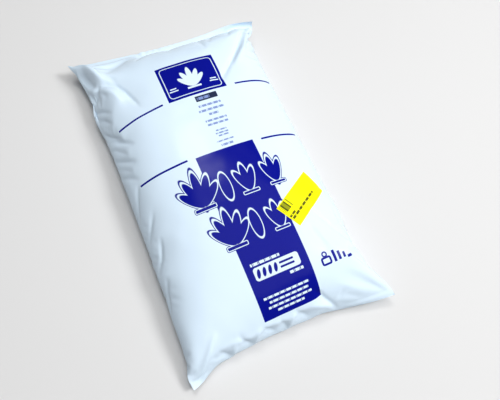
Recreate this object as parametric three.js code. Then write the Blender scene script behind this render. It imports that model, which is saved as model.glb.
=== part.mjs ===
// Rice sack: a flat tube of plastic film, welded shut at both ends and filled with rice,
// lying on its back with the printed side up. One sticker is on the upper side.
// +Y points to the sack's top end, +X to the right of its print, +Z up; millimetres.
// The form is found by settling the film: its two sheets can't stretch, the rice pushes
// them apart, most at the bottom, and the floor holds them up. Little rice reaches two of
// the corners, and most of the bottom weld hangs down to the floor.

import * as THREE from 'three';

// Film tube as it lies flat and empty
const filmWidth = 455;
const filmLength = 790;
const weldedBand = 14; // height of the heat-sealed band at each end
const wallThickness = 1.6; // both sheets where they are welded together

// Filling
const fillVolume = 25.0e6; // 25 litres of rice with the air between the grains
const fillHeight = 120; // height over which the rice's push falls to nothing

// The four corner ears: where the tip was left, how far from the corner, along both borders,
// the filling is thin, and how much of its push is missing there
const ears = [
  { end: 'top', side: 'left', tip: [-234, 400, 40], reach: 180, emptiness: 1 },
  { end: 'top', side: 'right', tip: [224, 363, 58], reach: 80, emptiness: 0.5 },
  { end: 'bottom', side: 'left', tip: [-216, -382, 20], reach: 60, emptiness: 0.5 },
  { end: 'bottom', side: 'right', tip: [237, -372, 30], reach: 240, emptiness: 1 },
];
const earGrip = 0.25; // share of the way to its place that a tip moves in one step

// Stretch of the bottom weld that hangs down and is drawn in under the sack
const hanging = { from: -195, to: 105, fade: 50, drop: 1, tuck: 0.3 };

// Sticker, placed on the flat film by its centre and the turn of its long side
const sticker = {
  centre: [125, -131],
  length: 114,
  height: 58,
  turn: 32,
  thickness: 0.5,
  gap: 0.6,
  columns: 14,
  rows: 9,
};

// Grid of each sheet, the rough cushion that it starts as, and how it settles
const firstColumns = 16;
const firstRows = 27;
const doublings = 1;
const start = { widthShare: 0.9, lengthShare: 0.97, seamHeight: 48, sideFlatness: 4, endFlatness: 6 };
const settling = {
  steps: 300,
  strain: 0.01, // stretch that one step may cause, before it is taken back
  curvature: 60, // radius of the bulge that the strain is worked out for
  volumeStiffness: 60,
  crease: 0.02, // how strongly the film resists a sharp fold
  damping: 0.93,
  friction: 0.3,
  weight: 0.05, // pull of the film's own weight, as a share of the rice's push
};
const floorHeight = wallThickness / 2;
const footTolerance = 0.4; // film this close to the floor lies flat on it

const colours = { film: 0xeef5fb, sticker: 0xfff200 };

const lower = 0;
const upper = 1;

// The two sheets as one list of points

function makeFilm(columns, rows) {
  const points = new Float64Array(2 * (rows + 1) * (columns + 1) * 3);
  return { columns, rows, points };
}

function at(film, sheet, row, column) {
  return 3 * ((sheet * (film.rows + 1) + row) * (film.columns + 1) + column);
}

function forEachPoint(film, visit) {
  for (let sheet = lower; sheet <= upper; sheet++) {
    for (let row = 0; row <= film.rows; row++) {
      for (let column = 0; column <= film.columns; column++) {
        visit(at(film, sheet, row, column), sheet, row, column);
      }
    }
  }
}

function roughCushion() {
  const film = makeFilm(firstColumns, firstRows);
  forEachPoint(film, (k, sheet, row, column) => {
    const u = (2 * column) / film.columns - 1;
    const v = (2 * row) / film.rows - 1;
    const bulge = (1 - u ** start.sideFlatness) * (1 - v ** start.endFlatness);
    const target = sheet === upper ? fillHeight : 0;
    film.points[k] = (start.widthShare * u * filmWidth) / 2;
    film.points[k + 1] = (start.lengthShare * v * filmLength) / 2;
    film.points[k + 2] = start.seamHeight + bulge * (target - start.seamHeight);
  });
  return film;
}

function doubled(coarse) {
  const film = makeFilm(2 * coarse.columns, 2 * coarse.rows);
  forEachPoint(film, (k, sheet, row, column) => {
    const rowBefore = Math.floor(row / 2);
    const rowAfter = Math.ceil(row / 2);
    const columnBefore = Math.floor(column / 2);
    const columnAfter = Math.ceil(column / 2);
    for (let axis = 0; axis < 3; axis++) {
      const near = coarse.points[at(coarse, sheet, rowBefore, columnBefore) + axis];
      const right = coarse.points[at(coarse, sheet, rowBefore, columnAfter) + axis];
      const above = coarse.points[at(coarse, sheet, rowAfter, columnBefore) + axis];
      const across = coarse.points[at(coarse, sheet, rowAfter, columnAfter) + axis];
      film.points[k + axis] = (near + right + above + across) / 4;
    }
  });
  return film;
}

// Folded sides and welded ends, where both sheets are one

function bandRows(film) {
  return Math.round((weldedBand / filmLength) * film.rows);
}

function isJoined(film, row, column) {
  const inBand = row <= bandRows(film) || row >= film.rows - bandRows(film);
  return inBand || column === 0 || column === film.columns;
}

// Rows and columns of the border, anticlockwise from the lower left corner
function borderOf(columns, rows) {
  const border = [];
  for (let column = 0; column < columns; column++) border.push([0, column]);
  for (let row = 0; row < rows; row++) border.push([row, columns]);
  for (let column = columns; column > 0; column--) border.push([rows, column]);
  for (let row = rows; row > 0; row--) border.push([row, 0]);
  return border;
}

function joinSheets(film) {
  const { points } = film;
  for (let row = 0; row <= film.rows; row++) {
    for (let column = 0; column <= film.columns; column++) {
      if (!isJoined(film, row, column)) continue;
      const a = at(film, lower, row, column);
      const b = at(film, upper, row, column);
      for (let axis = 0; axis < 3; axis++) {
        const middle = (points[a + axis] + points[b + axis]) / 2;
        points[a + axis] = middle;
        points[b + axis] = middle;
      }
    }
  }
}

// Threads of film between points: too long a thread is shortened, too short a one pushed apart

function fitThread(points, a, b, rest, shorten, lengthen) {
  const x = points[b] - points[a];
  const y = points[b + 1] - points[a + 1];
  const z = points[b + 2] - points[a + 2];
  const span = Math.hypot(x, y, z) + 1e-9;
  const excess = (span - rest) / span;
  const move = 0.5 * excess * (excess > 0 ? shorten : lengthen);
  points[a] += move * x;
  points[a + 1] += move * y;
  points[a + 2] += move * z;
  points[b] -= move * x;
  points[b + 1] -= move * y;
  points[b + 2] -= move * z;
}

// Threads that share no point are fitted together, so the result has no preferred side
function fitThreads(film, across, along, rest, shorten, lengthen) {
  const reach = Math.max(Math.abs(across), along);
  const rounds = 2 * reach;
  const lastRow = film.rows - along;
  const firstColumn = Math.max(0, -across);
  const lastColumn = film.columns - Math.max(0, across);
  for (let round = 0; round < rounds; round++) {
    for (let sheet = lower; sheet <= upper; sheet++) {
      for (let row = 0; row <= lastRow; row++) {
        for (let column = firstColumn; column <= lastColumn; column++) {
          const place = along === 0 ? column : row;
          if (place % rounds !== round) continue;
          const a = at(film, sheet, row, column);
          const b = at(film, sheet, row + along, column + across);
          fitThread(film.points, a, b, rest, shorten, lengthen);
        }
      }
    }
  }
}

function keepFilmSize(film, crease) {
  const cellWidth = filmWidth / film.columns;
  const cellHeight = filmLength / film.rows;
  const diagonal = Math.hypot(cellWidth, cellHeight);
  fitThreads(film, 1, 0, cellWidth, 1, 0);
  fitThreads(film, 0, 1, cellHeight, 1, 0);
  joinSheets(film);
  fitThreads(film, 1, 1, diagonal, 1, 0);
  fitThreads(film, -1, 1, diagonal, 1, 0);
  joinSheets(film);
  fitThreads(film, 2, 0, 2 * cellWidth, 0, crease);
  fitThreads(film, 0, 2, 2 * cellHeight, 0, crease);
  joinSheets(film);
}

// Outward area vector of every point, and the volume inside

function cellCorners(film, sheet, row, column) {
  return [
    at(film, sheet, row, column),
    at(film, sheet, row, column + 1),
    at(film, sheet, row + 1, column + 1),
    at(film, sheet, row + 1, column),
  ];
}

function cellAreaVector(points, corners, outward) {
  const [a, b, c, d] = corners;
  const p = [0, 1, 2].map((axis) => points[c + axis] - points[a + axis]);
  const q = [0, 1, 2].map((axis) => points[d + axis] - points[b + axis]);
  return [
    0.5 * outward * (p[1] * q[2] - p[2] * q[1]),
    0.5 * outward * (p[2] * q[0] - p[0] * q[2]),
    0.5 * outward * (p[0] * q[1] - p[1] * q[0]),
  ];
}

function measureFilm(film) {
  const { points } = film;
  const areas = new Float64Array(points.length);
  let volume = 0;
  for (let sheet = lower; sheet <= upper; sheet++) {
    const outward = sheet === upper ? 1 : -1;
    for (let row = 0; row < film.rows; row++) {
      for (let column = 0; column < film.columns; column++) {
        const corners = cellCorners(film, sheet, row, column);
        const area = cellAreaVector(points, corners, outward);
        for (const corner of corners) {
          for (let axis = 0; axis < 3; axis++) {
            areas[corner + axis] += area[axis] / 4;
            volume += (points[corner + axis] * area[axis]) / 12;
          }
        }
      }
    }
  }
  return { areas, volume };
}

function addBorderAreas(film, areas) {
  for (const [row, column] of borderOf(film.columns, film.rows)) {
    const a = at(film, lower, row, column);
    const b = at(film, upper, row, column);
    for (let axis = 0; axis < 3; axis++) {
      const sum = areas[a + axis] + areas[b + axis];
      areas[a + axis] = sum;
      areas[b + axis] = sum;
    }
  }
}

// Thinly filled corners, held ears and the hanging weld

function cornerOf(film, ear) {
  return {
    row: ear.end === 'top' ? film.rows : 0,
    column: ear.side === 'right' ? film.columns : 0,
  };
}

function fillingShares(film) {
  const shares = new Float64Array(film.points.length / 3);
  forEachPoint(film, (k, sheet, row, column) => {
    let share = 1;
    for (const ear of ears) {
      const corner = cornerOf(film, ear);
      const across = (Math.abs(column - corner.column) / film.columns) * filmWidth;
      const along = (Math.abs(row - corner.row) / film.rows) * filmLength;
      const filled = THREE.MathUtils.smoothstep(across + along, ear.reach / 2, ear.reach);
      share *= 1 - ear.emptiness * (1 - filled);
    }
    shares[k / 3] = share;
  });
  return shares;
}

function hangingShare(film, column) {
  const x = (column / film.columns - 0.5) * filmWidth;
  const outside = Math.max(hanging.from - x, x - hanging.to);
  return 1 - THREE.MathUtils.smoothstep(outside, 0, hanging.fade);
}

function pullWeldDown(film, push) {
  for (let sheet = lower; sheet <= upper; sheet++) {
    for (let row = 0; row <= bandRows(film); row++) {
      for (let column = 0; column <= film.columns; column++) {
        const k = at(film, sheet, row, column);
        const share = push * hangingShare(film, column);
        film.points[k + 1] += hanging.tuck * share;
        film.points[k + 2] -= hanging.drop * share;
      }
    }
  }
}

function holdEars(film) {
  for (const ear of ears) {
    const { row, column } = cornerOf(film, ear);
    for (let sheet = lower; sheet <= upper; sheet++) {
      const k = at(film, sheet, row, column);
      for (let axis = 0; axis < 3; axis++) {
        film.points[k + axis] += earGrip * (ear.tip[axis] - film.points[k + axis]);
      }
    }
  }
}

// Film settled on the floor under the push of the rice

function restOnFloor(film, before) {
  const { points } = film;
  for (let k = 0; k < points.length; k += 3) {
    if (points[k + 2] >= floorHeight) continue;
    points[k + 2] = floorHeight;
    points[k] += settling.friction * (before[k] - points[k]);
    points[k + 1] += settling.friction * (before[k + 1] - points[k + 1]);
  }
}

function highestPoint(points) {
  let highest = points[2];
  for (let k = 2; k < points.length; k += 3) {
    highest = Math.max(highest, points[k]);
  }
  return highest;
}

function settle(film) {
  const { points } = film;
  const cellWidth = filmWidth / film.columns;
  const cellHeight = filmLength / film.rows;
  const cellArea = cellWidth * cellHeight;
  const push = (settling.strain * Math.min(cellWidth, cellHeight) ** 2) / settling.curvature;
  const shares = fillingShares(film);
  const speed = new Float64Array(points.length);
  for (let step = 0; step < settling.steps; step++) {
    const { areas, volume } = measureFilm(film);
    addBorderAreas(film, areas);
    const surface = highestPoint(points);
    const missing = (settling.volumeStiffness * (fillVolume - volume)) / fillVolume;
    const before = points.slice();
    for (let k = 0; k < points.length; k += 3) {
      const depth = (surface - points[k + 2]) / fillHeight;
      const pressure = (push * shares[k / 3] * (depth + missing)) / cellArea;
      for (let axis = 0; axis < 3; axis++) {
        points[k + axis] += speed[k + axis] * settling.damping + pressure * areas[k + axis];
      }
      points[k + 2] -= settling.weight * push;
    }
    pullWeldDown(film, push);
    joinSheets(film);
    keepFilmSize(film, settling.crease);
    holdEars(film);
    restOnFloor(film, before);
    joinSheets(film);
    for (let k = 0; k < points.length; k++) {
      speed[k] = points[k] - before[k];
    }
  }
}

function settledFilm() {
  let film = roughCushion();
  settle(film);
  for (let n = 0; n < doublings; n++) {
    film = doubled(film);
    settle(film);
  }
  return film;
}

// Sheets moved apart by the wall's thickness, set down with the origin under the middle

function thicken(film) {
  const { areas } = measureFilm(film);
  const { points } = film;
  for (let k = 0; k < points.length; k += 3) {
    const size = Math.hypot(areas[k], areas[k + 1], areas[k + 2]);
    for (let axis = 0; axis < 3; axis++) {
      points[k + axis] += (0.5 * wallThickness * areas[k + axis]) / size;
    }
  }
}

function setDown(film) {
  const { points } = film;
  const box = new THREE.Box3().setFromArray(points);
  const middle = box.getCenter(new THREE.Vector3());
  for (let k = 0; k < points.length; k += 3) {
    points[k] -= middle.x;
    points[k + 1] -= middle.y;
    points[k + 2] -= box.min.z;
    if (points[k + 2] < footTolerance) {
      points[k + 2] = 0;
    }
  }
}

// Closed body between a lower and an upper grid of points, with a rim round their borders

function closedShell(columns, rows, positions) {
  const index = (sheet, [row, column]) => (sheet * (rows + 1) + row) * (columns + 1) + column;
  const triangles = [];
  const addCell = (a, b, c, d) => triangles.push(a, b, c, a, c, d);
  for (let row = 0; row < rows; row++) {
    for (let column = 0; column < columns; column++) {
      const cell = [[row, column], [row, column + 1], [row + 1, column + 1], [row + 1, column]];
      addCell(...cell.map((corner) => index(upper, corner)));
      addCell(...cell.reverse().map((corner) => index(lower, corner)));
    }
  }
  const border = borderOf(columns, rows);
  border.forEach((here, n) => {
    const next = border[(n + 1) % border.length];
    addCell(index(lower, here), index(lower, next), index(upper, next), index(upper, here));
  });
  const geometry = new THREE.BufferGeometry();
  geometry.setAttribute('position', new THREE.Float32BufferAttribute(positions, 3));
  geometry.setIndex(triangles);
  geometry.computeVertexNormals();
  return geometry;
}

function namedMesh(name, geometry, material) {
  const mesh = new THREE.Mesh(geometry, material);
  mesh.name = name;
  return mesh;
}

function makeSack(film) {
  const geometry = closedShell(film.columns, film.rows, film.points);
  const material = new THREE.MeshStandardMaterial({ color: colours.film, roughness: 0.35, metalness: 0 });
  return namedMesh('sack', geometry, material);
}

// Point on the upper sheet over a place of the flat film, and the way out of the sheet there

function cornerPoint(film, row, column) {
  return new THREE.Vector3().fromArray(film.points, at(film, upper, row, column));
}

function placeOnSack(film, x, y) {
  const across = (x / filmWidth + 0.5) * film.columns;
  const along = (y / filmLength + 0.5) * film.rows;
  const column = Math.floor(across);
  const row = Math.floor(along);
  const near = cornerPoint(film, row, column);
  const right = cornerPoint(film, row, column + 1);
  const far = cornerPoint(film, row + 1, column + 1);
  const left = cornerPoint(film, row + 1, column);
  const u = across - column;
  const v = along - row;
  const front = near.clone().lerp(right, u);
  const back = left.clone().lerp(far, u);
  const outward = far.clone().sub(near).cross(left.clone().sub(right)).normalize();
  return { point: front.lerp(back, v), outward };
}

function makeSticker(film) {
  const { columns, rows } = sticker;
  const turn = THREE.MathUtils.degToRad(sticker.turn);
  const positions = [];
  for (const height of [sticker.gap, sticker.gap + sticker.thickness]) {
    for (let row = 0; row <= rows; row++) {
      for (let column = 0; column <= columns; column++) {
        const along = (column / columns - 0.5) * sticker.length;
        const across = (row / rows - 0.5) * sticker.height;
        const x = sticker.centre[0] + along * Math.cos(turn) - across * Math.sin(turn);
        const y = sticker.centre[1] + along * Math.sin(turn) + across * Math.cos(turn);
        const { point, outward } = placeOnSack(film, x, y);
        positions.push(...point.addScaledVector(outward, height).toArray());
      }
    }
  }
  const geometry = closedShell(columns, rows, positions);
  const material = new THREE.MeshStandardMaterial({ color: colours.sticker, roughness: 0.5, metalness: 0 });
  return namedMesh('sticker', geometry, material);
}

const film = settledFilm();
thicken(film);
setDown(film);

const riceSack = new THREE.Group();
riceSack.add(makeSack(film));
riceSack.add(makeSticker(film));

export default riceSack;
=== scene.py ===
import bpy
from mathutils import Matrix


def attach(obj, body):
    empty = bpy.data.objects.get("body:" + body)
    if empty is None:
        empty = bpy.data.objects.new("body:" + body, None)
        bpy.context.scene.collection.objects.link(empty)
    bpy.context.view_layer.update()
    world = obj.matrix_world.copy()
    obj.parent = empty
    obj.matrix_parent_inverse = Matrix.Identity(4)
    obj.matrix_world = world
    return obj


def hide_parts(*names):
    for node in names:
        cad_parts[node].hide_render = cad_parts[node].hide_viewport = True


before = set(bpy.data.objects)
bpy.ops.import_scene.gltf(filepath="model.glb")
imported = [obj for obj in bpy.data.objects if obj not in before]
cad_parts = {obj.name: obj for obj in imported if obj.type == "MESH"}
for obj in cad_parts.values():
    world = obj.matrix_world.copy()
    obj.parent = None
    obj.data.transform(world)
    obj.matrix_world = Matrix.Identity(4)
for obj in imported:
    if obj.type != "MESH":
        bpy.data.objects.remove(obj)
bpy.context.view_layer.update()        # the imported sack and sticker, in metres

import math

import bpy
import numpy as np
from mathutils import Matrix, Vector

millimetre = 0.001
lower, upper = 0, 1      # the two sheets of the film tube
leastLength, leastArea = 1e-12, 1e-15      # so that nothing is divided by zero

# The film tube as it lies flat, what is in it and the rough cushion that it starts as
tube = {
    "width": 0.455,
    "length": 0.790,
    "weld": 0.014,           # height of the heat-sealed band at each end
    "wall": 0.0006,          # both sheets where they are welded together
    "volume": 0.0250,        # rice with the air between its grains
    "riceHeight": 0.120,     # height over which the push of the rice falls to nothing
    "columns": 16,
    "rows": 27,
    "doublings": 3,
    "startWidth": 0.9,
    "startLength": 0.97,
    "startSeam": 0.048,      # height of the edges above the floor
    "startPowers": (4, 6),   # how square the bulge is, across and along
}
# Each corner is a flat ear: where its tip lies, how far it reaches, how empty it is and how
# closely its two sheets cling together
ears = [
    {
        "top": True,
        "right": False,
        "tip": (-0.234, 0.400, 0.036),
        "reach": 0.180,
        "emptiness": 1.0,
        "cling": 0.03,
    },
    {
        "top": True,
        "right": True,
        "tip": (0.224, 0.363, 0.058),
        "reach": 0.080,
        "emptiness": 0.5,
        "cling": 0.10,
    },
    {
        "top": False,
        "right": False,
        "tip": (-0.216, -0.384, 0.020),
        "reach": 0.050,
        "emptiness": 0.5,
        "cling": 0.10,
    },
    {
        "top": False,
        "right": True,
        "tip": (0.237, -0.372, 0.030),
        "reach": 0.240,
        "emptiness": 1.0,
        "cling": 0.0,
    },
]
# The weld at the lower end hangs down between these two places, and is tucked in a little
hangingWeld = {"from": -0.206, "to": 0.105, "fade": 0.040, "drop": 1.0, "tuck": 0.3}
# The side fold below the long ear hangs too, which tilts the ear
hangingSide = {"from": 0.320, "to": 0.370, "fade": 0.090, "drop": 1.8}
settling = {
    "steps": 300,
    "smoothSteps": 60,       # on the finest grid, before the folds are pressed in
    "foldSteps": 240,
    "strain": 0.01,          # stretch that one step may cause, before it is taken back
    "curvature": 0.060,
    "volumeStiffness": 60.0,
    "softCrease": 0.02,      # resistance to a sharp fold while the form is found
    "crease": 0.14,          # and while the folds are pressed in
    "squeeze": 0.8,          # resistance of the film to being squeezed, for natural puckers
    "foldGrip": 0.4,
    "damping": 0.93,
    "friction": 0.3,
    "weight": 0.05,
    "earGrip": 0.25,
    "seamRounds": 8,         # rounds that take the scallops out of the side folds
    "lip": 0.5,              # how closely the sheets lie together next to the side folds
    "evening": 1,            # rounds that take out the zigzags of single cells
}
# More film than the form needs, so that it puckers: along the side folds and beside the welds
surplus = {
    "left": 0.035,
    "right": 0.015,
    "sidePlace": 0.028,
    "sideReach": 0.018,
    "top": 0.012,
    "bottom": 0.008,
    "endPlace": 0.035,
    "endReach": 0.022,
    "ear": 0.06,             # across the facet of the long ear
    "earPlace": (-0.190, 0.330),
    "earReach": 0.045,
    "patches": 23,           # the surplus at the sides changes from one patch to the next
    "leastShare": 0.4,
    "roughness": 0.0004,
    "seed": 3,
}
# How a fold fades towards its two ends
foldTaper = {"start": 0.05, "length": 0.9, "power": 0.8}
# Folds of the upper sheet: line on the flat film, height (a valley is negative), half width, in mm
folds = [
    [[(-226, 388), (-195, 361), (-176, 332), (-164, 306)], 24, 16],
    [[(-215, 350), (-203, 318), (-188, 298)], -12, 14],
    [[(-182, 292), (-190, 284), (-205, 272), (-222, 262)], -12, 7],
    [[(-186, 291), (-162, 289), (-140, 274), (-129, 249), (-121, 224), (-113, 200)], -14, 9],
    [[(-184, 280), (-166, 271), (-153, 256), (-145, 231)], 7, 9],
    [[(-221, 309), (-203, 300), (-192, 294)], 3, 9],
    [[(-189, 280), (-178, 270), (-170, 252)], -6, 6],
    [[(-226, 250), (-204, 238), (-176, 213)], -12, 9],
    [[(-226, 226), (-208, 215), (-184, 190)], -11, 8],
    [[(-226, 190), (-211, 172), (-176, 146)], -12, 9],
    [[(-226, 165), (-201, 153), (-156, 119)], -12, 9],
    [[(-226, 142), (-208, 134), (-175, 104)], -10, 8],
    [[(-226, 116), (-208, 104), (-166, 79)], -11, 9],
    [[(-226, 94), (-205, 82), (-180, 63)], -7, 8],
    [[(-226, 70), (-200, 58), (-175, 40)], -7, 8],
    [[(-180, 30), (-204, -14), (-218, -43)], -5, 8],
    [[(-172, -43), (-196, -77), (-214, -98)], -6, 8],
    [[(-176, -98), (-192, -136), (-210, -157)], -7, 8],
    [[(-196, -180), (-212, -206), (-222, -246)], -7, 8],
    [[(208, 366), (178, 312), (140, 260), (93, 208), (82, 196)], -16, 13],
    [[(215, 355), (193, 312), (166, 272), (132, 231)], 14, 11],
    [[(222, 318), (200, 303), (189, 292), (170, 272)], -10, 7],
    [[(-224, -388), (-195, -366), (-170, -340), (-146, -312)], 8, 11],
    [[(66, -312), (79, -331), (104, -380)], -11, 10],
    [[(50, -345), (85, -362), (100, -378)], 6, 9],
    [[(111, -357), (128, -340)], -4, 8],
    [[(-168, -350), (-122, -345), (-88, -352), (-44, -343), (0, -349), (62, -341)], 5, 12],
    [[(-150, -350), (-132, -380)], -8, 7],
    [[(-118, -350), (-124, -380)], 6, 7],
    [[(-104, -340), (-84, -376)], -9, 7],
    [[(-64, -344), (-78, -376)], 6, 6],
    [[(-54, -344), (-30, -372)], -9, 7],
    [[(-16, -342), (-6, -376)], -7, 6],
    [[(12, -344), (-2, -378)], 6, 6],
    [[(18, -340), (44, -372)], -9, 7],
    [[(187, -246), (150, -190), (128, -152)], -9, 8],
    [[(208, -240), (198, -205), (194, -172)], -7, 7],
    [[(128, -251), (112, -189)], -4, 10],
    [[(196, -142), (206, -120), (212, -84)], -5, 6],
    [[(113, 376), (98, 318)], -6, 7],
    [[(162, 376), (145, 318)], -6, 7],
    [[(77, 370), (80, 295)], -5, 8],
    [[(10, 376), (-2, 335)], -5, 8],
    [[(-60, 376), (-78, 330)], -5, 8],
]
# The grains under the film leave it very slightly uneven
unevenness = {"height": 0.00035, "spacing": 6, "seed": 11}


def smoothStep(low, high, value):
    t = np.clip((value - low) / (high - low), 0, 1)
    return t * t * (3 - 2 * t)


def bell(distance):
    return np.exp(-(distance**2))


def flatPlaces(columns, rows):
    x = np.linspace(-tube["width"] / 2, tube["width"] / 2, columns + 1)
    y = np.linspace(-tube["length"] / 2, tube["length"] / 2, rows + 1)
    return np.meshgrid(x, y)


def flatGrid(points):
    return flatPlaces(points.shape[2] - 1, points.shape[1] - 1)


def roughCushion():
    x, y = flatPlaces(tube["columns"], tube["rows"])
    u, v = 2 * x / tube["width"], 2 * y / tube["length"]
    powerAcross, powerAlong = tube["startPowers"]
    bulge = (1 - u**powerAcross) * (1 - v**powerAlong)
    points = np.zeros((2,) + x.shape + (3,))
    points[..., 0] = tube["startWidth"] * x
    points[..., 1] = tube["startLength"] * y
    points[lower, ..., 2] = tube["startSeam"] * (1 - bulge)
    points[upper, ..., 2] = tube["startSeam"] + bulge * (tube["riceHeight"] - tube["startSeam"])
    return points


def doubled(points):
    sheets, rows, columns, axes = points.shape
    fine = np.zeros((sheets, 2 * rows - 1, 2 * columns - 1, axes))
    fine[:, ::2, ::2] = points
    fine[:, 1::2, ::2] = (points[:, 1:] + points[:, :-1]) / 2
    fine[:, :, 1::2] = (fine[:, :, 2::2] + fine[:, :, :-2:2]) / 2
    return fine


def cellSize(points):
    return tube["width"] / (points.shape[2] - 1), tube["length"] / (points.shape[1] - 1)


def weldRows(points):
    return int(round(tube["weld"] / cellSize(points)[1])) + 1


def joinSheets(points):
    n = weldRows(points)
    for part in (np.s_[:, :, 0], np.s_[:, :, -1], np.s_[:, :n], np.s_[:, -n:]):
        points[part] = points[part].mean(0, keepdims=True)


# Moves both ends of every thread between a point and its neighbour towards its rest length
def fitThreads(points, across, along, rest, shorten, lengthen):
    rows, columns = points.shape[1:3]
    start, stop = max(0, -across), columns - max(0, across)
    near = points[:, : rows - along, start:stop]
    far = points[:, along:, start + across : stop + across]
    rest = rest[: rows - along, start:stop, None]
    rounds = 2 * max(abs(across), along)
    for n in range(rounds):                  # threads that share no point go together
        chosen = np.s_[n::rounds] if along else np.s_[:, n::rounds]
        a = near[:, n::rounds] if along else near[:, :, n::rounds]
        b = far[:, n::rounds] if along else far[:, :, n::rounds]
        gap = b - a
        span = np.sqrt((gap * gap).sum(-1, keepdims=True)) + leastLength
        excess = (span - rest[chosen]) / span
        move = 0.5 * excess * np.where(excess > 0, shorten, lengthen) * gap
        a += move
        b -= move


def keepFilmSize(points, squeeze, crease, extra):
    width, height = (size * (1 + share) for size, share in zip(cellSize(points), extra))
    diagonal = np.hypot(width, height)
    fitThreads(points, 1, 0, width, 1, squeeze)
    fitThreads(points, 0, 1, height, 1, squeeze)
    joinSheets(points)
    fitThreads(points, 1, 1, diagonal, 1, squeeze / 2)
    fitThreads(points, -1, 1, diagonal, 1, squeeze / 2)
    joinSheets(points)
    fitThreads(points, 2, 0, 2 * width, 0, crease)
    fitThreads(points, 0, 2, 2 * height, 0, crease)
    joinSheets(points)


def areaVectors(points):
    areas = np.zeros_like(points)
    volume = 0.0
    corners = (np.s_[:-1, :-1], np.s_[:-1, 1:], np.s_[1:, 1:], np.s_[1:, :-1])
    for sheet, outward in ((lower, -1), (upper, 1)):
        a, b, c, d = (points[sheet][corner] for corner in corners)
        area = 0.5 * outward * np.cross(c - a, d - b)
        volume += ((a + b + c + d) / 4 * area).sum() / 3
        for corner in corners:
            areas[sheet][corner] += area / 4
    return areas, volume


def pushVectors(points):
    areas, volume = areaVectors(points)
    for border in (np.s_[:, 0], np.s_[:, -1], np.s_[:, 1:-1, 0], np.s_[:, 1:-1, -1]):
        areas[border] = areas[border].sum(0, keepdims=True)
    return areas, volume


def emptyShare(ear, x, y):
    cornerX = tube["width"] / 2 * (1 if ear["right"] else -1)
    cornerY = tube["length"] / 2 * (1 if ear["top"] else -1)
    distance = abs(x - cornerX) + abs(y - cornerY)
    return ear["emptiness"] * (1 - smoothStep(ear["reach"] / 2, ear["reach"], distance))


def fillingShares(points):
    shares = np.ones(points.shape[1:3])
    for ear in ears:
        shares *= 1 - emptyShare(ear, *flatGrid(points))
    return shares[None, ..., None]


def clingShares(points):
    shares = np.zeros(points.shape[1:3])
    for ear in ears:
        shares += ear["cling"] * emptyShare(ear, *flatGrid(points)) ** 2
    return shares[None, ..., None]


def hangingShares(plan, place):
    outside = np.maximum(plan["from"] - place, place - plan["to"])
    return 1 - smoothStep(0, plan["fade"], outside)


def hangEdges(points, push):
    x, y = flatGrid(points)
    weldShares, sideShares = hangingShares(hangingWeld, x[0]), hangingShares(hangingSide, y[:, 0])
    band = np.s_[:, : weldRows(points)]
    points[band][..., 1] += hangingWeld["tuck"] * push * weldShares
    points[band][..., 2] -= hangingWeld["drop"] * push * weldShares
    points[:, :, 0, 2] -= hangingSide["drop"] * push * sideShares


def holdEars(points):
    for ear in ears:
        row, column = -1 if ear["top"] else 0, -1 if ear["right"] else 0
        points[:, row, column] += settling["earGrip"] * (np.array(ear["tip"]) - points[:, row, column])


def restOnFloor(points, before):
    sunk = points[..., 2] < tube["wall"] / 2
    points[..., 2][sunk] = tube["wall"] / 2
    for axis in (0, 1):
        points[..., axis][sunk] += settling["friction"] * (before[..., axis] - points[..., axis])[sunk]


# How far the rice moves each point of the film in one step
def riceMoves(points, push, shares):
    width, height = cellSize(points)
    areas, volume = pushVectors(points)
    depth = (points[..., 2:].max() - points[..., 2:]) / tube["riceHeight"]
    missing = settling["volumeStiffness"] * (tube["volume"] - volume) / tube["volume"]
    return push * shares * (depth + missing) * areas / (width * height)


def settle(points, steps, squeeze, crease, extra=(0, 0), cling=0, pressed=None):
    extra = [share + np.zeros(points.shape[1:3]) for share in extra]
    push = settling["strain"] * min(cellSize(points)) ** 2 / settling["curvature"]
    shares = fillingShares(points)
    speed = np.zeros_like(points)
    for step in range(steps):
        moves = riceMoves(points, push, shares)
        before = points.copy()
        points += speed * settling["damping"]
        points += moves
        points[..., 2] -= settling["weight"] * push
        hangEdges(points, push)
        points += cling * (points.mean(0) - points)
        if pressed:
            points[upper] += pressed["grip"] * (pressed["target"] - points[upper])
        joinSheets(points)
        keepFilmSize(points, squeeze, crease, extra)
        holdEars(points)
        restOnFloor(points, before)
        joinSheets(points)
        speed = points - before
    return points


def surplusShares(points):
    x, y = flatGrid(points)
    rng = np.random.default_rng(surplus["seed"])
    patches = np.linspace(-tube["length"] / 2, tube["length"] / 2, surplus["patches"])
    shares = rng.uniform(surplus["leastShare"], 1.0, len(patches))
    uneven = np.interp(y[:, 0], patches, shares)[:, None]
    fromLeft = (tube["width"] / 2 + x - surplus["sidePlace"]) / surplus["sideReach"]
    fromRight = (tube["width"] / 2 - x - surplus["sidePlace"]) / surplus["sideReach"]
    sides = surplus["left"] * bell(fromLeft) + surplus["right"] * bell(fromRight)
    fromTop = (tube["length"] / 2 - y - surplus["endPlace"]) / surplus["endReach"]
    fromBottom = (tube["length"] / 2 + y - surplus["endPlace"]) / surplus["endReach"]
    ends = surplus["top"] * bell(fromTop) + surplus["bottom"] * bell(fromBottom)
    earX, earY = surplus["earPlace"]
    ear = surplus["ear"] * bell(np.hypot(x - earX, y - earY) / surplus["earReach"])
    return ends + ear, uneven * sides + ear


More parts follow.
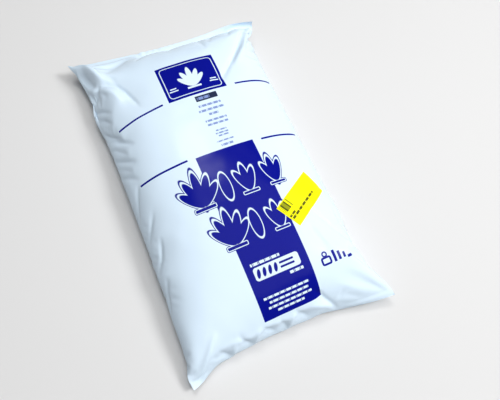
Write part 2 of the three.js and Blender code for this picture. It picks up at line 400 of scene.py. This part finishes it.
# Distance from each point to a fold's line, and how far along the line that is
def nearestOnLine(x, y, line):
    nearest, share = np.full(x.shape, np.inf), np.zeros(x.shape)
    line = np.array(line) * millimetre
    spans = np.hypot(*np.diff(line, axis=0).T)
    walked = 0.0
    for start, end, span in zip(line[:-1], line[1:], spans):
        step = end - start
        t = np.clip(((x - start[0]) * step[0] + (y - start[1]) * step[1]) / span**2, 0, 1)
        distance = np.hypot(x - start[0] - t * step[0], y - start[1] - t * step[1])
        closer = distance < nearest
        nearest = np.where(closer, distance, nearest)
        share = np.where(closer, (walked + t * span) / spans.sum(), share)
        walked += span
    return nearest, share


def pressedFolds(points):
    x, y = flatGrid(points)
    height, grip = np.zeros(x.shape), np.zeros(x.shape)
    for line, amount, halfWidth in folds:
        distance, share = nearestOnLine(x, y, line)
        profile = bell(2 * distance / (halfWidth * millimetre))
        taper = np.sin(np.pi * (foldTaper["start"] + foldTaper["length"] * share))
        profile *= taper ** foldTaper["power"]
        height += amount * millimetre * profile
        grip = np.maximum(grip, profile)
    target = points[upper] + outwardDirections(points)[upper] * height[..., None]
    return {"target": target, "grip": settling["foldGrip"] * grip[..., None]}


def roughened(points):
    rng = np.random.default_rng(surplus["seed"])
    noise = rng.normal(0, surplus["roughness"], points.shape[1:3])
    return points + outwardDirections(points) * noise[..., None]


def straightSeams(points):
    for n in range(settling["seamRounds"]):
        for side in (0, -1):
            seam = points[:, :, side]
            seam[:, 1:-1] = seam[:, 1:-1] / 2 + (seam[:, :-2] + seam[:, 2:]) / 4


def flattenLips(points):
    for side in (1, -2):
        points[:, :, side] += settling["lip"] * (points[:, :, side].mean(0) - points[:, :, side])


def evened(points):
    straightSeams(points)
    for n in range(settling["evening"]):
        inner = points[:, 1:-1, 1:-1]
        beside = points[:, :-2, 1:-1] + points[:, 2:, 1:-1] + points[:, 1:-1, :-2] + points[:, 1:-1, 2:]
        points[:, 1:-1, 1:-1] = inner / 2 + beside / 8
        joinSheets(points)
    flattenLips(points)
    return points


def settledFilm():
    points = roughCushion()
    doublings = tube["doublings"] - 0
    for n in range(doublings):
        points = doubled(settle(points, settling["steps"], 0, settling["softCrease"]))
        print("film settled on", points.shape[2] - 1, "x", points.shape[1] - 1, "cells")
    points = settle(points, settling["smoothSteps"], 0, settling["softCrease"])
    pressed = pressedFolds(points)
    cling = clingShares(points)
    extra = surplusShares(points)
    resistance = (settling["squeeze"], settling["crease"])
    points = settle(roughened(points), settling["foldSteps"], *resistance, extra, cling, pressed)
    print("folds pressed in")
    return evened(points)


def outwardDirections(points):
    areas = areaVectors(points)[0]
    return areas / (np.linalg.norm(areas, axis=-1, keepdims=True) + leastArea)


def unevenHeights(points):
    rng = np.random.default_rng(unevenness["seed"])
    rows, columns = points.shape[1:3]
    spacing = unevenness["spacing"]
    coarse = rng.normal(0, 1, (rows // spacing + 2, columns // spacing + 2))
    row, column = np.arange(rows) / spacing, np.arange(columns) / spacing
    across = np.array([np.interp(column, np.arange(coarse.shape[1]), line) for line in coarse])
    heights = np.array([np.interp(row, np.arange(coarse.shape[0]), line) for line in across.T]).T
    for n in range(spacing):
        beside = heights[:-2, 1:-1] + heights[2:, 1:-1] + heights[1:-1, :-2] + heights[1:-1, 2:]
        heights[1:-1, 1:-1] = beside / 4
    return unevenness["height"] * heights


def setDown(points):
    low, high = points.reshape(-1, 3).min(0), points.reshape(-1, 3).max(0)
    points[..., :2] -= (low + high)[:2] / 2
    points[..., 2] -= low[2]
    return points


def deselectAll():
    for item in bpy.context.selected_objects:
        item.select_set(False)


def makeActive(item):
    deselectAll()
    item.select_set(True)
    bpy.context.view_layer.objects.active = item


# The row and column of each vertex of a square grid of side 2
def gridCells(mesh, rows, columns):
    flat = np.empty(len(mesh.vertices) * 3)
    mesh.vertices.foreach_get("co", flat)
    flat = flat.reshape(-1, 3)
    row = np.rint((flat[:, 1] + 1) / 2 * rows).astype(int)
    column = np.rint((flat[:, 0] + 1) / 2 * columns).astype(int)
    return row, column


# A grid moved into place, with its places on the flat film as its UV map
def addSheet(name, positions, flatX, flatY, uvName):
    rows, columns = positions.shape[0] - 1, positions.shape[1] - 1
    deselectAll()
    bpy.ops.mesh.primitive_grid_add(x_subdivisions=columns, y_subdivisions=rows, size=2)
    item = bpy.context.object
    item.name = name
    mesh = item.data
    row, column = gridCells(mesh, rows, columns)
    mesh.vertices.foreach_set("co", positions[row, column].ravel())
    corners = np.empty(len(mesh.loops), dtype=np.int32)
    mesh.loops.foreach_get("vertex_index", corners)
    places = np.stack([flatX[row, column], flatY[row, column]], -1)[corners]
    for layer in list(mesh.uv_layers):
        mesh.uv_layers.remove(layer)
    mesh.uv_layers.new(name=uvName).uv.foreach_set("vector", places.ravel())
    mesh.update()
    return item


def flipFaces(item):
    makeActive(item)
    bpy.ops.object.mode_set(mode="EDIT")
    bpy.ops.mesh.select_all(action="SELECT")
    bpy.ops.mesh.flip_normals()
    bpy.ops.object.mode_set(mode="OBJECT")


def joinPieces(pieces, name):
    deselectAll()
    for item in pieces:
        item.select_set(True)
    bpy.context.view_layer.objects.active = pieces[0]
    bpy.ops.object.join()
    item = bpy.context.object
    item.name = name
    return item


def mergeDoubles(item, distance):
    makeActive(item)
    bpy.ops.object.mode_set(mode="EDIT")
    bpy.ops.mesh.select_all(action="SELECT")
    bpy.ops.mesh.remove_doubles(threshold=distance)
    bpy.ops.object.mode_set(mode="OBJECT")


def smoothByAngle(item, degrees):
    makeActive(item)
    bpy.ops.object.shade_smooth_by_angle(angle=math.radians(degrees))


def newMaterial(name, surface):
    material = bpy.data.materials.new(name)
    material.use_nodes = True
    tree = material.node_tree
    shader = tree.nodes["Principled BSDF"]
    shader.inputs["Roughness"].default_value = surface["roughness"]
    shader.inputs["Specular IOR Level"].default_value = surface["specular"]
    return material, tree, shader


def useMaterial(item, material):
    item.data.materials.clear()
    item.data.materials.append(material)


def plug(tree, socket, value):
    if isinstance(value, bpy.types.NodeSocket):
        tree.links.new(value, socket)
    else:
        socket.default_value = value


def calc(tree, operation, *values):
    node = tree.nodes.new("ShaderNodeMath")
    node.operation = operation
    for socket, value in zip(node.inputs, values):
        plug(tree, socket, value)
    return node.outputs[0]


def vectorCalc(tree, operation, *values):
    node = tree.nodes.new("ShaderNodeVectorMath")
    node.operation = operation
    for socket, value in zip(node.inputs, values):
        plug(tree, socket, value)
    return node.outputs["Value"] if operation == "LENGTH" else node.outputs["Vector"]


def remap(tree, value, low, high, toLow=0.0, toHigh=1.0):
    node = tree.nodes.new("ShaderNodeMapRange")
    node.interpolation_type = "SMOOTHSTEP"
    for socket, entry in zip(node.inputs, (value, low, high, toLow, toHigh)):
        plug(tree, socket, entry)
    return node.outputs[0]


# A mix node's sockets for colours come after those for numbers and vectors
mixSockets = {"first": 6, "second": 7, "mixed": 2}


def mixColours(tree, share, first, second):
    node = tree.nodes.new("ShaderNodeMix")
    node.data_type = "RGBA"
    plug(tree, node.inputs["Factor"], share)
    plug(tree, node.inputs[mixSockets["first"]], first)
    plug(tree, node.inputs[mixSockets["second"]], second)
    return node.outputs[mixSockets["mixed"]]


def flatPlace(tree, uvName):
    node = tree.nodes.new("ShaderNodeUVMap")
    node.uv_map = uvName
    return node.outputs[0]


def acrossAndAlong(tree, place):
    node = tree.nodes.new("ShaderNodeSeparateXYZ")
    plug(tree, node.inputs[0], place)
    return node.outputs[0], node.outputs[1]


def mirroredPlace(tree, place):
    x, y = acrossAndAlong(tree, place)
    node = tree.nodes.new("ShaderNodeCombineXYZ")
    plug(tree, node.inputs[0], calc(tree, "ABSOLUTE", x))
    plug(tree, node.inputs[1], y)
    return node.outputs[0]


def placeFrom(tree, place, centre, turn=0):
    place = vectorCalc(tree, "SUBTRACT", place, (*centre, 0))
    if not turn:
        return place
    node = tree.nodes.new("ShaderNodeVectorRotate")
    node.rotation_type = "Z_AXIS"
    plug(tree, node.inputs["Vector"], place)
    node.inputs["Angle"].default_value = -math.radians(turn)
    return node.outputs[0]


# Distance from a box with round corners, in metres on the flat film and negative inside
def boxDistance(tree, place, centre, size, corner=0.001, turn=0):
    inner = (size[0] / 2 - corner, size[1] / 2 - corner, 1)
    offset = vectorCalc(tree, "ABSOLUTE", placeFrom(tree, place, centre, turn))
    beyond = vectorCalc(tree, "MAXIMUM", vectorCalc(tree, "SUBTRACT", offset, inner), (0, 0, 0))
    return calc(tree, "SUBTRACT", vectorCalc(tree, "LENGTH", beyond), corner)


# The same from a grain of rice, which is an ellipse
def grainDistance(tree, place, centre, size, turn=0):
    scale = (2 / size[0], 2 / size[1], 0)
    scaled = vectorCalc(tree, "MULTIPLY", placeFrom(tree, place, centre, turn), scale)
    radius = min(size) / 2
    return calc(tree, "MULTIPLY_ADD", vectorCalc(tree, "LENGTH", scaled), radius, -radius)


def nearestOf(tree, distances):
    total = distances[0]
    for distance in distances[1:]:
        total = calc(tree, "MINIMUM", total, distance)
    return total


# A mask that is 1 inside the shape
def inside(tree, distance, margin=0.0, softness=0.0004):
    return remap(tree, distance, margin - softness, margin + softness, 1.0, 0.0)


def outline(tree, distance, middle, halfWidth):
    fromMiddle = calc(tree, "ABSOLUTE", calc(tree, "SUBTRACT", distance, middle))
    return inside(tree, fromMiddle, halfWidth)


def together(tree, masks):
    total = masks[0]
    for mask in masks[1:]:
        total = calc(tree, "MAXIMUM", total, mask)
    return total


# Two waves along a bar break it up like words
wordWaves = {
    "word": 0.013,           # length of the long wave
    "letter": 0.0029,        # length of the short wave
    "letterDepth": 0.55,
    "gap": -1.15,            # nothing is printed below this height of the waves
    "full": -0.45,
    "shift": 2.4,            # of the long wave from one bar to the next
}


# Broken bars in place of small print; they hold no letters
def textLines(tree, place, lines):
    across = acrossAndAlong(tree, place)[0]
    turns = calc(tree, "MULTIPLY", across, 2 * math.pi / wordWaves["letter"])
    letters = calc(tree, "SINE", turns)
    masks = []
    for n, (centre, size) in enumerate(lines):
        shift = wordWaves["shift"] * n
        turns = calc(tree, "MULTIPLY_ADD", across, 2 * math.pi / wordWaves["word"], shift)
        words = calc(tree, "SINE", turns)
        waves = calc(tree, "MULTIPLY_ADD", letters, wordWaves["letterDepth"], words)
        broken = remap(tree, waves, wordWaves["gap"], wordWaves["full"])
        bar = inside(tree, boxDistance(tree, place, centre, size))
        masks.append(calc(tree, "MULTIPLY", bar, broken))
    return together(tree, masks)


# The print on the upper sheet, in metres on the flat film: each bar's middle and size come
# first, and then how round its corners are
printPlate = {
    "panel": ((0.0160, 0.2190), (0.133, 0.101)),
    "panelFrame": ((0.0160, 0.2190), (0.119, 0.087), 0.008),
    "panelLine": (0, 0.0009),                    # a line's distance from the shape, and half width
    "panelSheaf": ((0.0160, 0.1870), 0.062, 0.0125, 2),
    "panelBars": [((-0.030, 0.1935), (0.020, 0.003)), ((0.062, 0.1935), (0.020, 0.003)),
                  ((-0.030, 0.2000), (0.014, 0.003)), ((0.062, 0.2000), (0.014, 0.003))],
    "column": ((0.0165, -0.1545), (0.128, 0.358)),
    # Rules: middle, length and turn in degrees
    "rules": [((-0.120, 0.1665), 0.112, 4), ((0.153, 0.1700), 0.102, 0),
              ((-0.120, 0.0240), 0.112, 2), ((0.148, 0.0205), 0.097, 0)],
    "ruleHeight": 0.0044,
    "ruleCorner": 0.0008,
    "tag": ((0.0290, 0.1555), (0.049, 0.0145)),
    "tagLine": ((0.0220, 0.1555), (0.030, 0.0070)),
    "smallLines": [((0.029, 0.1355), (0.050, 0.0056)), ((0.028, 0.1230), (0.056, 0.0056)),
                   ((0.029, 0.1110), (0.022, 0.0056)), ((0.028, 0.0960), (0.048, 0.0050)),
                   ((0.028, 0.0860), (0.046, 0.0050)), ((0.028, 0.0685), (0.024, 0.0036)),
                   ((0.027, 0.0615), (0.028, 0.0036)), ((0.028, 0.0550), (0.022, 0.0036)),
                   ((0.026, 0.0425), (0.038, 0.0034)), ((0.027, 0.0325), (0.026, 0.0052))],
    # Sheaves of grains: foot, height, grain thickness, pairs of leaning grains
    "sheaves": [((-0.068, -0.088), 0.086, 0.0175, 2), ((0.031, -0.087), 0.066, 0.0150, 1),
                ((0.091, -0.086), 0.064, 0.0150, 1), ((-0.040, -0.181), 0.082, 0.0170, 2),
                ((0.058, -0.178), 0.060, 0.0145, 1)],
    "grains": [((-0.0135, -0.055), (0.021, 0.060)), ((0.0115, -0.148), (0.021, 0.058))],
    "inline": 0.0016,        # white line around each blue shape
    "outer": 0.0030,         # the blue around the shapes reaches this far
    "box": ((0.0150, -0.2415), (0.096, 0.0265), 0.006),
    "boxGrains": [-0.024, -0.012, 0.000, 0.012],
    "boxGrainSize": (0.0075, 0.0185),
    "boxGrainTurn": -14,
    "boxBars": [((0.036, -0.2370), (0.030, 0.0042)), ((0.036, -0.2455), (0.030, 0.0042))],
    "columnLines": [((-0.003, -0.2215), (0.062, 0.0056)), ((0.049, -0.2620), (0.029, 0.0056)),
                    ((0.0150, -0.2905), (0.098, 0.0046)), ((0.0170, -0.3005), (0.084, 0.0046)),
                    ((0.0165, -0.3105), (0.094, 0.0046)), ((0.0150, -0.3205), (0.058, 0.0046))],
    "weight": ((0.1130, -0.2700), (0.022, 0.017), 0.005),
    "weightLine": (-0.0018, 0.0022),
    "weightKnob": ((0.1130, -0.2565), (0.009, 0.009)),
    "knobLine": (0, 0.0016),
    "weightBars": [((0.1320, -0.2665), (0.0060, 0.024)), ((0.1425, -0.2690), (0.0060, 0.018)),
                   ((0.1530, -0.2715), (0.0055, 0.012)), ((0.1650, -0.2780), (0.0120, 0.0060))],
}
inks = {
    "film": (0.69, 0.83, 0.96, 1),
    "blue": (0.003, 0.006, 0.25, 1),
    "white": (0.70, 0.84, 0.93, 1),
    "pale": (0.22, 0.30, 0.58, 1),
    "dark": (0.020, 0.030, 0.070, 1),
}
filmSurface = {"roughness": 0.17, "specular": 0.08}
# A fan of grains that stand on a short bar; the measures are shares of its height
sheafPlan = {
    "barMiddle": 0.05,
    "barLength": 0.5,
    "barHeight": 0.075,
    "grainFoot": 0.1,
    "grainLength": 0.9,
    "shorter": 0.12,         # each pair of grains than the pair before it
    "lean": 22,              # degrees from one pair to the next
}


def sheafDistance(tree, place, foot, height, thickness, pairs):
    half = mirroredPlace(tree, placeFrom(tree, place, foot))
    barSize = (sheafPlan["barLength"] * height, sheafPlan["barHeight"] * height)
    parts = [boxDistance(tree, half, (0, sheafPlan["barMiddle"] * height), barSize)]
    for n in range(pairs + 1):
        lean = math.radians(sheafPlan["lean"] * n)
        length = height * (sheafPlan["grainLength"] - sheafPlan["shorter"] * n)
        x = math.sin(lean) * length / 2
        y = sheafPlan["grainFoot"] * height + math.cos(lean) * length / 2
        parts.append(grainDistance(tree, half, (x, y), (thickness, length), -math.degrees(lean)))
    return nearestOf(tree, parts)


def motifDistance(tree, place):
    parts = [sheafDistance(tree, place, *sheaf) for sheaf in printPlate["sheaves"]]
    parts += [grainDistance(tree, place, centre, size) for centre, size in printPlate["grains"]]
    return nearestOf(tree, parts)


def blueShapes(tree, place, motif):
    parts = [boxDistance(tree, place, *printPlate[name]) for name in ("panel", "column")]
    for centre, length, turn in printPlate["rules"]:
        size = (length, printPlate["ruleHeight"])
        parts.append(boxDistance(tree, place, centre, size, printPlate["ruleCorner"], turn))
    parts += [boxDistance(tree, place, centre, size) for centre, size in printPlate["weightBars"]]
    knob = grainDistance(tree, place, *printPlate["weightKnob"])
    weight = boxDistance(tree, place, *printPlate["weight"])
    masks = [
        inside(tree, nearestOf(tree, parts)),
        inside(tree, motif, printPlate["outer"]),
        outline(tree, knob, *printPlate["knobLine"]),
        outline(tree, weight, *printPlate["weightLine"]),
    ]
    return together(tree, masks)


def whiteShapes(tree, place, motif):
    panelFrame = boxDistance(tree, place, *printPlate["panelFrame"])
    sheaf = sheafDistance(tree, place, *printPlate["panelSheaf"])
    bars = [boxDistance(tree, place, centre, size) for centre, size in printPlate["panelBars"]]
    masks = [
        outline(tree, motif, printPlate["inline"] / 2, printPlate["inline"] / 2),
        outline(tree, panelFrame, *printPlate["panelLine"]),
        inside(tree, nearestOf(tree, [sheaf] + bars)),
        inside(tree, boxDistance(tree, place, *printPlate["box"])),
        textLines(tree, place, printPlate["columnLines"]),
    ]
    return together(tree, masks)


def boxShapes(tree, place):
    y = printPlate["box"][0][1]
    size, turn = printPlate["boxGrainSize"], printPlate["boxGrainTurn"]
    parts = [grainDistance(tree, place, (x, y), size, turn) for x in printPlate["boxGrains"]]
    parts += [boxDistance(tree, place, centre, size) for centre, size in printPlate["boxBars"]]
    return inside(tree, nearestOf(tree, parts))


def filmMaterial():
    material, tree, shader = newMaterial("printedFilm", filmSurface)
    place = flatPlace(tree, "flatFilm")
    motif = motifDistance(tree, place)
    colour = mixColours(tree, blueShapes(tree, place, motif), inks["film"], inks["blue"])
    colour = mixColours(tree, whiteShapes(tree, place, motif), colour, inks["white"])
    colour = mixColours(tree, boxShapes(tree, place), colour, inks["blue"])
    colour = mixColours(tree, textLines(tree, place, printPlate["smallLines"]), colour, inks["pale"])
    tag = inside(tree, boxDistance(tree, place, *printPlate["tag"]))
    colour = mixColours(tree, tag, colour, inks["dark"])
    colour = mixColours(tree, textLines(tree, place, [printPlate["tagLine"]]), colour, inks["pale"])
    plug(tree, shader.inputs["Base Color"], colour)
    return material


sackMesh = {
    "backShift": 1,          # puts the lower sheet of the UV map where nothing is printed
    "mergeDistance": 1e-6,
    "smoothAngle": 60,
}


# The film's outer face: half its thickness off the middle, and closed at the edges
def outerFace(points):
    face = points + outwardDirections(points) * tube["wall"] / 2
    for border in (np.s_[:, 0], np.s_[:, -1], np.s_[:, :, 0], np.s_[:, :, -1]):
        face[border] = points[border].mean(0, keepdims=True)
    return setDown(face)


def makeSack(points):
    flatX, flatY = flatGrid(points)
    points[upper] += outwardDirections(points)[upper] * unevenHeights(points)[..., None]
    face = outerFace(points)
    front = addSheet("sackFront", face[upper], flatX, flatY, "flatFilm")
    back = addSheet("sackBack", face[lower], flatX + sackMesh["backShift"], flatY, "flatFilm")
    flipFaces(back)
    sack = joinPieces([front, back], "filledSack")
    mergeDoubles(sack, sackMesh["mergeDistance"])
    smoothByAngle(sack, sackMesh["smoothAngle"])
    useMaterial(sack, filmMaterial())
    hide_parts("sack")
    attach(sack, "root")
    print("sack made,", len(sack.data.polygons), "faces")
    return face


# The yellow sticker, placed on the flat film; its marks are measured from its middle
stickerSheet = {
    "centre": (0.125, -0.131),
    "size": (0.114, 0.058),
    "turn": 32,
    "lift": 0.0003,          # clear of the film
    "thickness": 0.00025,
    "columns": 56,
    "rows": 28,
    "smoothAngle": 40,
    "barPlace": (0.007, 0.027),                              # from and to, across
    "barCorner": 0.0004,
    "barSoftness": 0.0003,
    "darkBars": [(-0.0465, 0.0040), (-0.0360, 0.0036)],      # place and width, along
    "paleBars": [(-0.0535, 0.0012), (-0.0505, 0.0014), (-0.0412, 0.0066), (-0.0290, 0.0030)],
    "lines": [((-0.0125, -0.0100), (0.083, 0.0050)), ((-0.0455, -0.0035), (0.018, 0.0044))],
}
stickerColours = {
    "yellow": (1.0, 0.95, 0.002, 1),
    "olive": (0.30, 0.32, 0.006, 1),
    "darkOlive": (0.08, 0.09, 0.006, 1),
}
stickerSurface = {"roughness": 0.55, "specular": 0.1}


# What a sheet's grid holds at places on the flat film
def sampleSheet(sheet, x, y):
    rows, columns = sheet.shape[0] - 1, sheet.shape[1] - 1
    across = (x / tube["width"] + 0.5) * columns
    along = (y / tube["length"] + 0.5) * rows
    column, row = np.floor(across).astype(int), np.floor(along).astype(int)
    u, v = (across - column)[..., None], (along - row)[..., None]
    front = sheet[row, column] * (1 - u) + sheet[row, column + 1] * u
    rear = sheet[row + 1, column] * (1 - u) + sheet[row + 1, column + 1] * u
    return front * (1 - v) + rear * v


def barShapes(tree, place, bars):
    low, high = stickerSheet["barPlace"]
    parts = []
    for x, width in bars:
        centre, size = (x, (low + high) / 2), (width, high - low)
        parts.append(boxDistance(tree, place, centre, size, stickerSheet["barCorner"]))
    return inside(tree, nearestOf(tree, parts), 0, stickerSheet["barSoftness"])


def stickerMaterial():
    material, tree, shader = newMaterial("yellowSticker", stickerSurface)
    place = flatPlace(tree, "stickerFace")
    pale = barShapes(tree, place, stickerSheet["paleBars"])
    colour = mixColours(tree, pale, stickerColours["yellow"], stickerColours["olive"])
    words = textLines(tree, place, stickerSheet["lines"])
    dark = together(tree, [barShapes(tree, place, stickerSheet["darkBars"]), words])
    colour = mixColours(tree, dark, colour, stickerColours["darkOlive"])
    plug(tree, shader.inputs["Base Color"], colour)
    return material


def makeSticker(points):
    turn = math.radians(stickerSheet["turn"])
    length, width = stickerSheet["size"]
    along = np.linspace(-0.5, 0.5, stickerSheet["columns"] + 1) * length
    across = np.linspace(-0.5, 0.5, stickerSheet["rows"] + 1) * width
    faceX, faceY = np.meshgrid(along, across)
    centreX, centreY = stickerSheet["centre"]
    x = centreX + faceX * math.cos(turn) - faceY * math.sin(turn)
    y = centreY + faceX * math.sin(turn) + faceY * math.cos(turn)
    outward = sampleSheet(outwardDirections(points)[upper], x, y)
    face = sampleSheet(points[upper], x, y) + outward * stickerSheet["lift"]
    sticker = addSheet("curvedSticker", face, faceX, faceY, "stickerFace")
    wall = sticker.modifiers.new("wall", "SOLIDIFY")
    wall.thickness = stickerSheet["thickness"]
    wall.offset = 1
    makeActive(sticker)
    bpy.ops.object.modifier_apply(modifier=wall.name)
    smoothByAngle(sticker, stickerSheet["smoothAngle"])
    useMaterial(sticker, stickerMaterial())
    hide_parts("sticker")
    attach(sticker, "root")
    print("sticker made")


floorPlan = {"size": 8, "colour": (0.68, 0.68, 0.68, 1), "roughness": 0.9, "specular": 0.5}


def makeFloor():
    deselectAll()
    bpy.ops.mesh.primitive_plane_add(size=floorPlan["size"], location=(0, 0, 0))
    floor = bpy.context.object
    floor.name = "paleFloor"
    material, tree, shader = newMaterial("floorWhite", floorPlan)
    plug(tree, shader.inputs["Base Color"], floorPlan["colour"])
    useMaterial(floor, material)


# Each light: where it comes from, how far off and how wide it is, in metres, and its watts
studio = {
    "ceiling": {"from": (0.18, -0.15, 0.97), "distance": 3.0, "size": 3.6, "power": 67},
    "key": {"from": (0.62, -0.25, 0.74), "distance": 5.5, "size": 1.8, "power": 160},
    "window": {"from": (0.03, 0.44, 0.89), "distance": 4.5, "size": 1.1, "power": 45},
    "sky": (1.0, 0.98, 0.97, 1),
    "skyStrength": 0.08,
}


def makeLight(name, plan):
    direction = Vector(plan["from"]).normalized()
    data = bpy.data.lights.new(name, "AREA")
    data.shape = "DISK"
    data.size = plan["size"]
    data.energy = plan["power"]
    light = bpy.data.objects.new(name, data)
    light.location = direction * plan["distance"]
    light.rotation_mode = "QUATERNION"
    light.rotation_quaternion = direction.to_track_quat("Z", "Y")
    bpy.context.scene.collection.objects.link(light)


def makeSky():
    world = bpy.data.worlds.new("studioSky")
    world.use_nodes = True
    background = world.node_tree.nodes["Background"]
    background.inputs[0].default_value = studio["sky"]
    background.inputs[1].default_value = studio["skyStrength"]
    bpy.context.scene.world = world


# The camera stands where the photo was taken from
cameraPlan = {
    "place": (-0.2345, -0.4533, 1.0985),
    "view": (0.2305, 0.3268, -0.9166),
    "up": (0.3309, 0.8595, 0.3897),
    "sensor": 36.0,
    "focalPixels": 535.3,     # focal length on a picture 500 pixels wide
    "pictureWidth": 500,
}


def makeCamera():
    data = bpy.data.cameras.new("photoCamera")
    camera = bpy.data.objects.new("photoCamera", data)
    data.sensor_width = cameraPlan["sensor"]
    data.lens = cameraPlan["sensor"] * cameraPlan["focalPixels"] / cameraPlan["pictureWidth"]
    back = -Vector(cameraPlan["view"]).normalized()
    up = Vector(cameraPlan["up"])
    up = (up - up.dot(back) * back).normalized()
    turned = Matrix((up.cross(back), up, back)).transposed().to_4x4()
    turned.translation = Vector(cameraPlan["place"])
    camera.matrix_world = turned
    bpy.context.scene.collection.objects.link(camera)
    bpy.context.scene.camera = camera


film = settledFilm()
filmFace = makeSack(film)
makeSticker(filmFace)
makeFloor()
for lightName in ("ceiling", "key", "window"):
    makeLight(lightName + "Light", studio[lightName])
makeSky()
makeCamera()
bpy.context.scene.view_settings.view_transform = "Standard"
print("floor, lights and camera placed")
